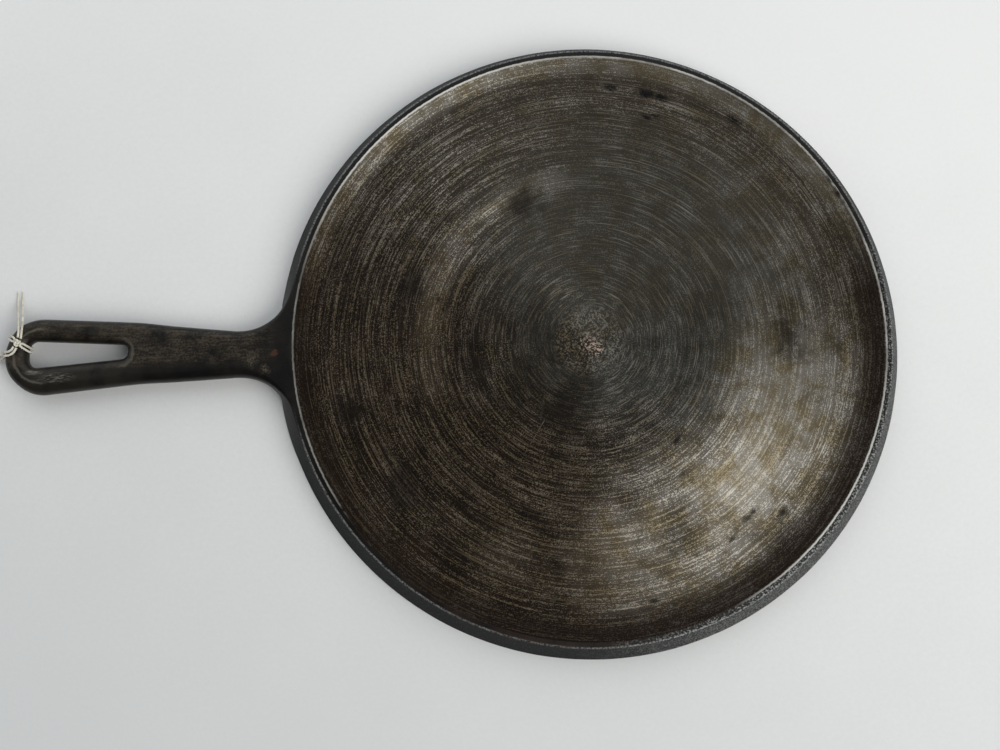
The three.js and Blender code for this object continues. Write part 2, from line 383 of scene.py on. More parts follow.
# The casting. Its half outline at the middle of the handle's thickness runs from the far side of the plate
# over +Y to the tip of the handle. Each station on it has a rib: over the top, down the side and under.
PLATE_STATIONS = 210
FILLET_STATIONS = 30
SIDE_STATIONS = 44
END_STATIONS = 30
QUARTER_STEPS = 9
TOP_STEPS = 6
FOOT_STEPS = 4
DISH_RINGS = 26
CORNER_RINGS = 14
WALL_FOOT = HANDLE_BOTTOM
WALL_END = WALL_FOOT + 1.5 * MM
FOOT_INNER_EDGE = 0.4 * MM
UNDERSIDE_ROUND = 2.5 * MM
SKIRT_ROUND_SHARE = 0.35
FILLET_AT_LIP = 0.7
SPINE_AT_FILLET = 0.25
SIDE_AT_EYE = 0.5
EYE_AT_END = 0.83

# A place on the outline: point, outward normal, share in the handle, and where its inner partner is.
Station = namedtuple("Station", "point normal handle_share inner")


def plate_stations(last_angle):
    stations = []
    for step in range(PLATE_STATIONS):
        angle = last_angle * step / PLATE_STATIONS
        normal = Vector((math.cos(angle), math.sin(angle)))
        stations.append(Station(normal * SKIRT_RADIUS, normal, 0.0, angle / math.pi))
    return stations


def handle_stations(fillet_centre, side_angle, first_inner):
    stations = []
    start = math.atan2(-fillet_centre.y, -fillet_centre.x)
    for step in range(FILLET_STATIONS + 1):
        share = step / FILLET_STATIONS
        angle = between(start, side_angle - math.pi, share)
        radial = Vector((math.cos(angle), math.sin(angle)))
        if share <= FILLET_AT_LIP:
            inner = between(first_inner, 1.0, share / FILLET_AT_LIP)
        else:
            inner = 1 + SPINE_AT_FILLET * (share - FILLET_AT_LIP) / (1 - FILLET_AT_LIP)
        stations.append(Station(fillet_centre + radial * ROOT_FILLET, -radial, smooth(share), inner))
    side_normal = Vector((math.cos(side_angle), math.sin(side_angle)))
    side_start = stations[-1].point
    side_end = Vector((END_CENTRE, 0)) + side_normal * END_RADIUS
    for step in range(1, SIDE_STATIONS):
        share = step / SIDE_STATIONS
        if share <= SIDE_AT_EYE:
            inner = 1 + between(SPINE_AT_FILLET, 1.0, share / SIDE_AT_EYE)
        else:
            inner = 2 + EYE_AT_END * (share - SIDE_AT_EYE) / (1 - SIDE_AT_EYE)
        stations.append(Station(side_start.lerp(side_end, share), side_normal, 1.0, inner))
    for step in range(END_STATIONS + 1):
        share = step / END_STATIONS
        angle = between(side_angle, math.pi, share)
        normal = Vector((math.cos(angle), math.sin(angle)))
        inner = 2 + between(EYE_AT_END, 1.0, share)
        stations.append(Station(Vector((END_CENTRE, 0)) + normal * END_RADIUS, normal, 1.0, inner))
    return stations


def outline_stations():
    fillet_y = HANDLE_NECK_WIDTH / 2 + ROOT_FILLET
    fillet_x = -math.sqrt((SKIRT_RADIUS + ROOT_FILLET) ** 2 - fillet_y**2)
    apart = math.hypot(fillet_x - END_CENTRE, fillet_y)
    lean = math.acos((END_RADIUS + ROOT_FILLET) / apart)
    side_angle = math.atan2(fillet_y, fillet_x - END_CENTRE) + lean
    root_angle = math.atan2(fillet_y, fillet_x)
    stations = plate_stations(root_angle)
    return stations + handle_stations(Vector((fillet_x, fillet_y)), side_angle, root_angle / math.pi)


def corner_arc(before, corner, after, radius, steps=12):
    """Points and normals of a rounded corner, the normals pointing away from the arc's centre."""
    to_before = (before - corner).normalized()
    to_after = (after - corner).normalized()
    half = to_before.angle(to_after) / 2
    centre = corner + (to_before + to_after).normalized() * radius / math.sin(half)
    start = corner + to_before * radius / math.tan(half) - centre
    end = corner + to_after * radius / math.tan(half) - centre
    turn = start.angle_signed(end)
    points = []
    for step in range(steps + 1):
        angle = -turn * step / steps
        spoke = Matrix.Rotation(angle, 2) @ start
        points.append((centre + spoke, spoke.normalized()))
    return points


def eye_half():
    """The upper half of the eye from its narrow to its wide end, as points with normals into the iron."""
    wide_x = END_BAR_WIDTH - HANDLE_REACH
    narrow_x = wide_x + EYE_LENGTH
    narrow_middle = Vector((narrow_x, 0))
    narrow_corner = Vector((narrow_x, EYE_NARROW_END / 2))
    wide_corner = Vector((wide_x, EYE_WIDE_END / 2))
    wide_middle = Vector((wide_x, 0))
    path = [(narrow_middle, Vector((1, 0)))]
    path += corner_arc(narrow_middle, narrow_corner, wide_corner, EYE_NARROW_CORNER)
    path += corner_arc(narrow_corner, wide_corner, wide_middle, EYE_WIDE_CORNER)
    path.append((wide_middle, Vector((-1, 0))))
    return path


def point_on_eye(path, share):
    lengths = distances([point for point, normal in path])
    target = lengths[-1] * share
    index = 0
    while index < len(path) - 2 and lengths[index + 1] < target:
        index += 1
    part = (target - lengths[index]) / (lengths[index + 1] - lengths[index])
    point = path[index][0].lerp(path[index + 1][0], part)
    normal = path[index][1].lerp(path[index + 1][1], part).normalized()
    return point, normal


def round_over():
    """The handle's side: outward offset from the outline and height, from its top to its bottom."""
    profile = []
    for step in range(QUARTER_STEPS + 1):
        angle = math.pi / 2 * (1 - step / QUARTER_STEPS)
        height = RIM_HEIGHT - HANDLE_ROUND + HANDLE_ROUND * math.sin(angle)
        profile.append((HANDLE_ROUND * (math.cos(angle) - 1), height))
    return profile + [(offset, 2 * HANDLE_MIDDLE - height) for offset, height in reversed(profile)]


def bend(first, corner, last, steps):
    """Points of a smooth bend between two points that first heads for the corner."""
    shares = [step / steps for step in range(steps + 1)]
    return [tuple(first.lerp(corner, s).lerp(corner.lerp(last, s), s)) for s in shares]


def flared_wall():
    """The plate's side with as many points as the handle's: the rim's rounded edge and the flared skirt."""
    count = 2 * (QUARTER_STEPS + 1)
    edge = QUARTER_STEPS
    corner = FLARE * (HANDLE_MIDDLE - RIM_HEIGHT)
    top = Vector((corner - RIM_EDGE_ROUND, RIM_HEIGHT))
    turn = Vector((corner, RIM_HEIGHT))
    wall = Vector((corner + FLARE * RIM_EDGE_ROUND, RIM_HEIGHT - RIM_EDGE_ROUND))
    profile = bend(top, turn, wall, edge - 1)
    wall_top = profile[-1][1]
    for step in range(1, count - edge + 1):
        height = between(wall_top, WALL_END, step / (count - edge))
        profile.append((FLARE * (HANDLE_MIDDLE - height), height))
    return profile


def line_between(first, last, steps):
    return [first.lerp(last, step / steps) for step in range(steps + 1)]


def inner_point(inner, height, eye, plate_radius):
    """A station's inner partner at a height: on a ring of the plate, on the handle's spine or at the eye."""
    eye_tip = END_BAR_WIDTH - HANDLE_REACH + EYE_LENGTH + HANDLE_ROUND
    if inner <= 1:
        angle = inner * math.pi
        return Vector((plate_radius * math.cos(angle), plate_radius * math.sin(angle), height))
    if inner <= 2:
        return Vector((between(-plate_radius, eye_tip, inner - 1), 0, height))
    point, normal = point_on_eye(eye, inner - 2)
    edge = point + normal * HANDLE_ROUND
    return Vector((edge.x, max(edge.y, 0.0), height))


def casting_patches():
    """The upper half of the casting as grids: ribs, dish, foot with underside, and the wall of the eye."""
    eye = eye_half()
    wall_foot_radius = SKIRT_RADIUS + FLARE * (HANDLE_MIDDLE - WALL_FOOT)
    plate_side = flared_wall()
    handle_side = round_over()
    dish_line = dish_profile()
    foot_line = foot_profile(wall_foot_radius)
    ribs = []
    dish = []
    foot = []
    eye_wall = []
    for station in outline_stations():
        side = []
        for plate_point, handle_point in zip(plate_side, handle_side):
            offset = between(plate_point[0], handle_point[0], station.handle_share)
            height = between(plate_point[1], handle_point[1], station.handle_share)
            place = station.point + station.normal * offset
            side.append(Vector((place.x, max(place.y, 0.0), height)))
        top_inner = inner_point(station.inner, RIM_HEIGHT, eye, LIP_RADIUS)
        bottom_inner = inner_point(station.inner, HANDLE_BOTTOM, eye, wall_foot_radius)
        top = line_between(top_inner, side[0], TOP_STEPS)
        bottom = line_between(side[-1], bottom_inner, TOP_STEPS)
        ribs.append(top + side[1:] + bottom[1:])
        if station.inner <= 1 + SEAM_SLACK:
            dish.append(ring_row(dish_line, station.inner * math.pi))
            foot.append(ring_row(foot_line, station.inner * math.pi))
        if station.inner >= 2 - SEAM_SLACK:
            eye_wall.append(eye_wall_row(eye, min(max(station.inner - 2, 0.0), 1.0)))
    return [ribs, dish, foot, eye_wall]


def dish_profile():
    """Radius and height from the lip down the curved corner and over the flat surface to the middle."""
    corner_radius = (DISH_CORNER_RUN**2 + DISH_DEPTH**2) / (2 * DISH_DEPTH)
    lip_angle = math.asin(DISH_CORNER_RUN / corner_radius)
    profile = [(LIP_RADIUS, RIM_HEIGHT)]
    for step in range(1, CORNER_RINGS + 1):
        angle = lip_angle * (1 - step / CORNER_RINGS)
        radius = LIP_RADIUS - DISH_CORNER_RUN + corner_radius * math.sin(angle)
        profile.append((radius, SURFACE_HEIGHT + corner_radius * (1 - math.cos(angle))))
    flat_radius = LIP_RADIUS - DISH_CORNER_RUN
    for step in range(1, DISH_RINGS + 1):
        profile.append((flat_radius * (1 - step / DISH_RINGS), SURFACE_HEIGHT))
    return profile


def foot_profile(wall_foot_radius):
    """Radius and height from the skirt's outside under the foot ring and over the hollow underside."""
    foot_inner = FOOT_RADIUS - FOOT_WIDTH
    profile = [(wall_foot_radius, WALL_FOOT)]
    edge_top = Vector((FOOT_RADIUS, FOOT_EDGE_ROUND))
    edge_corner = Vector((FOOT_RADIUS, 0))
    edge_bottom = Vector((FOOT_RADIUS - FOOT_EDGE_ROUND, 0))
    profile += bend(edge_top, edge_corner, edge_bottom, FOOT_STEPS)
    profile.append((foot_inner + FOOT_INNER_EDGE, 0.0))
    profile.append((foot_inner, FOOT_INNER_EDGE / 2))
    skirt_top = foot_inner - SKIRT_INNER_RUN
    corner = Vector((skirt_top, UNDERSIDE_HEIGHT))
    skirt_x = between(skirt_top, foot_inner, SKIRT_ROUND_SHARE)
    skirt = Vector((skirt_x, UNDERSIDE_HEIGHT * (1 - SKIRT_ROUND_SHARE)))
    flat = Vector((skirt_top - UNDERSIDE_ROUND, UNDERSIDE_HEIGHT))
    profile += bend(skirt, corner, flat, FOOT_STEPS)
    for step in range(1, DISH_RINGS // 2 + 1):
        profile.append((flat.x * (1 - 2 * step / DISH_RINGS), UNDERSIDE_HEIGHT))
    return profile


def ring_row(profile, angle):
    """A profile of radius and height, at an angle round the plate."""
    outward = Vector((math.cos(angle), math.sin(angle), 0))
    return [outward * radius + Vector((0, 0, height)) for radius, height in profile]


def eye_wall_row(eye, share):
    point, normal = point_on_eye(eye, share)
    row = []
    for offset, height in round_over():
        place = point - normal * offset
        row.append(Vector((place.x, max(place.y, 0.0), height)))
    return row


# The handle's root sits a little to one side and the eye to the other; the casting is slightly uneven.
ROOT_LEAN = -1.8 * MM
ROOT_LEAN_FROM = 229 * MM
ROOT_LEAN_FULL = 160 * MM
ROOT_LEAN_RUN = 9 * MM
ROOT_HALF_WIDTH = 60 * MM
EYE_SHIFT = 1.5 * MM
EYE_SHIFT_END = 205 * MM
EYE_SHIFT_TIP_RUN = 8 * MM
EYE_SHIFT_NECK_RUN = 20 * MM
SKIN_RUN = 2 * MM
UNEVEN_HEIGHT = 0.16 * MM
UNEVEN_PITCH = 22 * MM


def root_lean(point):
    """How far a point moves along Y with the root of the handle."""
    towards_root = smooth((ROOT_LEAN_FROM + point.x) / (ROOT_LEAN_FROM - ROOT_LEAN_FULL))
    outside_lip = smooth((math.hypot(point.x, point.y) - LIP_RADIUS) / ROOT_LEAN_RUN)
    near_root = smooth((ROOT_HALF_WIDTH - abs(point.y)) / (ROOT_HALF_WIDTH / 2))
    handle_side = 1.0 if point.x < 0 else 0.0
    return ROOT_LEAN * towards_root * outside_lip * near_root * handle_side


def eye_shift(point):
    """How far a point moves along Y with the eye, which leaves the outside of the handle in place."""
    inside_end = smooth((HANDLE_REACH + point.x) / EYE_SHIFT_TIP_RUN)
    before_neck = smooth((-EYE_SHIFT_END - point.x) / EYE_SHIFT_NECK_RUN)
    from_side = max(0.0, 1 - (point.y / END_RADIUS) ** 2)
    return EYE_SHIFT * inside_end * before_neck * from_side


def unevenness(point):
    """A small sink of the as-cast skin, in metres; the turned surface and the foot stay true."""
    skin = smooth((math.hypot(point.x, point.y) - LIP_RADIUS) / SKIN_RUN) * smooth(point.z / SKIN_RUN)
    return UNEVEN_HEIGHT * skin * (noise.noise(point / UNEVEN_PITCH) - 1)


def as_cast(point):
    """A point of the true shape moved to where the real casting has it."""
    moved = point + Vector((0, root_lean(point) + eye_shift(point), 0))
    sink = unevenness(moved)
    outward = Vector((point.x, point.y, 0)).normalized() if point.x > -LIP_RADIUS else Vector((0, 0, 0))
    return moved + outward * sink + Vector((0, 0, sink / 2))


def make_casting():
    half = casting_patches()
    shift = Vector((PLATE_X, 0, 0))
    mirror = Matrix.Diagonal((1, -1, 1))
    patches = [[[as_cast(point) + shift for point in row] for row in patch] for patch in half]
    patches += [[[as_cast(mirror @ point) + shift for point in row] for row in patch] for patch in half]
    return piece_from_patches("griddle", patches)


griddle = make_casting()


NOISE_MIDDLE = 0.5


class Field:
    """A number over a surface. Fields add, subtract and multiply, with plain numbers too."""

    def __init__(self, shader, socket):
        self.shader = shader
        self.socket = socket

    def __add__(self, other):
        return self.shader.math("ADD", self, other)

    def __sub__(self, other):
        return self.shader.math("SUBTRACT", self, other)

    def __rsub__(self, other):
        return self.shader.math("SUBTRACT", other, self)

    def __mul__(self, other):
        return self.shader.math("MULTIPLY", self, other)

    def __truediv__(self, other):
        return self.shader.math("DIVIDE", self, other)

    def __abs__(self):
        return self.shader.math("ABSOLUTE", self)

    def swing(self, amount):
        """A noise measured from its middle, times an amount."""
        return (self - NOISE_MIDDLE) * amount

    def rise(self, low, high):
        """0 below low, 1 above high and smooth between; falls instead where low is above high."""
        first, last = (0.0, 1.0) if low < high else (1.0, 0.0)
        node = self.shader.add("ShaderNodeMapRange", interpolation_type="SMOOTHSTEP")
        self.shader.fill(node, Value=self, From_Min=min(low, high), From_Max=max(low, high))
        self.shader.fill(node, To_Min=first, To_Max=last)
        return Field(self.shader, node.outputs["Result"])


class Shader:
    """A material under construction: adds nodes and links them."""

    def __init__(self, name):
        self.material = bpy.data.materials.new(name)
        self.material.use_nodes = True
        self.tree = self.material.node_tree
        self.tree.nodes.clear()
        self.surface = self.add("ShaderNodeBsdfPrincipled")
        output = self.add("ShaderNodeOutputMaterial")
        self.tree.links.new(self.surface.outputs["BSDF"], output.inputs["Surface"])
        self.place = self.add("ShaderNodeTexCoord").outputs["Object"]

    def add(self, kind, **settings):
        node = self.tree.nodes.new(kind)
        for key, value in settings.items():
            setattr(node, key, value)
        return node

    def feed(self, socket, value):
        if isinstance(value, Field):
            value = value.socket
        if isinstance(value, bpy.types.NodeSocket):
            self.tree.links.new(value, socket)
        else:
            socket.default_value = value

    def fill(self, node, **values):
        """Feeds a node's sockets by name, with _ for a space."""
        for key, value in values.items():
            self.feed(node.inputs[key.replace("_", " ")], value)

    def set(self, **values):
        """Feeds the sockets of the surface."""
        self.fill(self.surface, **values)

    def chain(self, kind, values, **settings):
        """A new node with its first sockets fed in order."""
        node = self.add(kind, **settings)
        for socket, value in zip(node.inputs, values):
            self.feed(socket, value)
        return node

    def math(self, operation, *values):
        return Field(self, self.chain("ShaderNodeMath", values, operation=operation).outputs[0])

    def most(self, first, *others):
        """The largest of several values."""
        for other in others:
            first = self.math("MAXIMUM", first, other)
        return first

    def vector(self, operation, *values):
        node = self.chain("ShaderNodeVectorMath", values, operation=operation)
        if operation in ("LENGTH", "DOT_PRODUCT"):
            return Field(self, node.outputs["Value"])
        return node.outputs["Vector"]

    def split(self, vector):
        return [Field(self, socket) for socket in self.chain("ShaderNodeSeparateXYZ", [vector]).outputs]

    def join(self, x, y, z):
        return self.chain("ShaderNodeCombineXYZ", (x, y, z)).outputs[0]

    def noise(self, vector, scale, detail=3.0, roughness=0.55, distortion=0.0):
        node = self.add("ShaderNodeTexNoise")
        self.fill(node, Vector=vector, Scale=scale, Detail=detail, Roughness=roughness, Distortion=distortion)
        return Field(self, node.outputs["Fac"])

    def mix(self, kind, share, first, second):
        node = self.add("ShaderNodeMix", data_type=kind)
        self.fill(node, Factor=share, A=first, B=second)
        return node.outputs["Result"]

    def blend(self, share, first, second):
        """A colour between two colours."""
        return self.mix("RGBA", share, first, second)

    def level(self, share, first, second):
        """A number between two numbers."""
        return Field(self, self.mix("FLOAT", share, first, second))

    def bump(self, height, strength, distance):
        node = self.add("ShaderNodeBump")
        self.fill(node, Strength=strength, Distance=distance, Height=height)
        return node.outputs["Normal"]


class IronShader(Shader):
    """A material of the casting: place, radius and direction in millimetres about the plate's middle."""

    def __init__(self, name):
        super().__init__(name)
        centred = self.vector("SUBTRACT", self.place, (PLATE_X, 0.0, 0.0))
        self.place = self.vector("DIVIDE", centred, (MM, MM, MM))
        flat = self.vector("MULTIPLY", self.place, FLAT)
        self.radius = self.vector("LENGTH", flat)
        self.direction = self.vector("NORMALIZE", flat)

    def ring_noise(self, spread, pitch, detail, roughness=0.6):
        """Noise along the plate's rings: spread sets how short its strokes are, pitch their width in mm."""
        drawn = self.vector("MULTIPLY", self.direction, (spread, spread, 0.0))
        height = self.join(0.0, 0.0, self.radius / pitch)
        return self.noise(self.vector("ADD", drawn, height), 1.0, detail, roughness)

    def facing(self, heading, low, high):
        """0 to 1 as the direction from the plate's middle turns to a heading."""
        return self.vector("DOT_PRODUCT", self.direction, heading).rise(low, high)

    def ring_patch(self, angle, half_angle, middle, half_width):
        """A soft patch along a ring: direction and half angle in degrees, radius and half width in mm."""
        turn = math.radians(angle)
        around = self.facing((math.cos(turn), math.sin(turn), 0.0), math.cos(math.radians(half_angle)), 1.0)
        outside = self.radius.rise(middle + half_width, middle)
        inside = self.radius.rise(middle - half_width, middle)
        return around * outside * inside

    def marks(self, places, pitch, raggedness, softness, stretch=1.0):
        """1 inside ragged marks at x, y with a size, 0 outside; drawn out along the rings by the stretch."""
        uneven = self.noise(self.place, 1.0 / pitch, 3.0, 0.6).swing(raggedness)
        covered = []
        for x, y, size in places:
            reach = math.hypot(x, y)
            offset = self.vector("SUBTRACT", self.place, (x, y, 0.0))
            across = self.vector("DOT_PRODUCT", offset, (x / reach, y / reach, 0.0))
            around = self.vector("DOT_PRODUCT", offset, (-y / reach / stretch, x / reach / stretch, 0.0))
            distance = self.vector("LENGTH", self.join(across, around, 0.0)) + uneven * size
            covered.append(distance.rise(size, size * (1 - softness)))
        return self.most(0.0, *covered)


def rgb(red, green, blue):
    """A colour given as it looks on a screen, 0 to 255, as the shader's linear values."""
    linear = []
    for part in (red, green, blue):
        part /= 255
        linear.append(part / 12.92 if part <= 0.04045 else ((part + 0.055) / 1.055) ** 2.4)
    return (*linear, 1.0)


FLAT = (1.0, 1.0, 0.0)
LIP = LIP_RADIUS / MM
RIM = RIM_RADIUS / MM
# Pale worn metal of the lip, which also serves as the lip's painted highlight.
LIP_METAL_AND_HIGHLIGHT = rgb(212, 211, 205)

# Stretches of the lip: direction and half angle in degrees, radius and half width in millimetres.
# The upper-left and lower-right stretches hold a painted highlight where the lamp catches the lip.
LIP_UPPER_LEFT = (128.0, 48.0, LIP, 12.0)
LIP_LOWER_RIGHT = (-38.0, 42.0, LIP, 12.0)
LIP_SEASONED = (-102.0, 60.0, LIP, 12.0)
LIP_AT_ROOT = (184.0, 55.0, LIP, 12.0)


def lip_wear_and_highlight(iron):
    """1 on the worn, ragged edge of the lip, with a painted highlight on its upper-left and lower-right
    stretches, 0 away from it and where it is still seasoned.
    """
    shifted = iron.radius + iron.ring_noise(spread=90.0, pitch=3.0, detail=3.0).swing(0.7)
    on_edge = shifted.rise(LIP - 0.8, LIP - 0.25) * shifted.rise(LIP + 0.4, LIP + 0.1)
    patchy = iron.ring_noise(spread=5.0, pitch=50.0, detail=4.0, roughness=0.7).rise(0.3, 0.68)
    worn_and_lit_sides = iron.most(iron.ring_patch(*LIP_UPPER_LEFT), iron.ring_patch(*LIP_LOWER_RIGHT))
    share = iron.most(patchy * 0.7 + 0.15, worn_and_lit_sides)
    share = iron.most(share - iron.ring_patch(*LIP_SEASONED), 0.0)
    return share * iron.level(iron.ring_patch(*LIP_AT_ROOT), 1.0, 0.4) * on_edge


# Stains and marks in millimetres about the middle of the plate: x, y and size.
DISH_SPOTS = (
    (16, 131, 2.6),
    (35, 127, 3.0),
    (42, 125, 2.6),
    (34, 115, 2.4),
    (39, 115, 2.0),
    (79, 112, 2.6),
    (73, -90, 2.6),
    (76, -87, 2.0),
    (90, -88, 2.2),
    (65, -100, 1.3),
    (26, -128, 1.8),
    (41, -51, 1.7),
    (-74, 23, 2.0),
    (-72, 18, 1.5),
    (132, 65, 2.4),
    (128, 71, 2.6),
    (124, 78, 1.6),
)
DISH_CLOUDS = (
    (-119, -32, 13.0),
    (-57, -11, 15.0),
    (-30, 72, 11.0),
    (100, -2, 14.0),
    (-20, -35, 18.0),
    (-95, -70, 20.0),
    (-88, 30, 12.0),
)
RUBBED_MIDDLE = ((0.5, -2.0, 8.0), (4.0, -5.0, 6.0))
# Tan patches: worn metal which also serves as a painted sheen on the left and upper-left side of the dish.
TAN_PATCHES = ((-42, -5, 8.0), (-49, -15, 6.0), (-62, 52, 9.0), (-48, 66, 8.0), (-74, 36, 7.0))
HANDLE_SCUFFS = ((-263, -11.0, 13.0), (-273, -8.0, 7.0))
RUST_MARKS = ((-155.4, -2.2, 2.1),)
CRUST_MARKS = ((-167, -5.5, 5.5), (-160, -10, 4.0))

# Scratches across the rings: from x, y to x, y in millimetres about the middle of the plate.
SCRATCHES = ((-21.0, -35.0, -37.0, -60.0), (-3.5, -44.5, -7.0, -53.5))
SCRATCH_TAPER = 4.0


def scratches(iron):
    """1 on thin straight scratches, 0 off them."""
    covered = []
    for x0, y0, x1, y1 in SCRATCHES:
        length = math.hypot(x1 - x0, y1 - y0)
        heading = ((x1 - x0) / length, (y1 - y0) / length, 0.0)
        offset = iron.vector("SUBTRACT", iron.place, (x0, y0, 0.0))
        run = iron.vector("DOT_PRODUCT", offset, heading)
        aside = abs(iron.vector("DOT_PRODUCT", offset, (-heading[1], heading[0], 0.0)))
        ends = run.rise(0.0, SCRATCH_TAPER) * run.rise(length, length - SCRATCH_TAPER)
        covered.append(ends * aside.rise(0.3, 0.05))
    return iron.most(0.0, *covered) * iron.noise(iron.place, 0.45, 2.0).rise(0.4, 0.62)


# Worn stretches of the dish, whose lower-right and upper-left patches also paint the gleam: direction and
# half angle in degrees, radius and half width in mm, and share.
WORN_AND_GLEAM_PATCHES = (
    (-46.0, 64.0, 102.0, 50.0, 1.0),
    (-88.0, 40.0, 112.0, 24.0, 0.32),
    (5.0, 60.0, 100.0, 42.0, 0.16),
    (128.0, 42.0, 84.0, 10.0, 0.32),
    (172.0, 40.0, 80.0, 12.0, 0.35),
)

# The dish: headings from the middle, zones in millimetres, and colours.
FAR = (0.3, 0.95, 0.0)
FAR_RIGHT = (0.6, 0.8, 0.0)
NEAR = (0.0, -1.0, 0.0)
LEFT = (-0.85, -0.52, 0.0)
SLATE_MIDDLE = (24.0, 30.0, SURFACE_HEIGHT / MM)
SLATE_EDGE = (56.0, 100.0)
BURNT_AND_SHADED_CORNER = (127.0, 142.0)
UNDER_LIP = (135.0, 145.0)
STIPPLED_MIDDLE = (21.0, 13.0)
DULL_MIDDLE = (15.0, 80.0)
SLATE = (rgb(33, 33, 30), rgb(47, 47, 43))
BROWN = (rgb(14, 9, 5), rgb(38, 27, 17))
FAR_BROWN = rgb(63, 58, 50)
BURNT_AND_SHADE_BROWN = rgb(26, 15, 8)
LEFT_SHADE_BROWN = rgb(10, 6, 3)
SPECK_GREY = rgb(86, 82, 72)
CLOUD_BLACK = rgb(17, 14, 11)
SPOT_BLACK = rgb(12, 12, 13)
METAL = (rgb(156, 143, 116), rgb(192, 188, 178))
LEFT_SHADE_METAL = rgb(142, 122, 92)
MIDDLE_METAL = rgb(188, 168, 152)


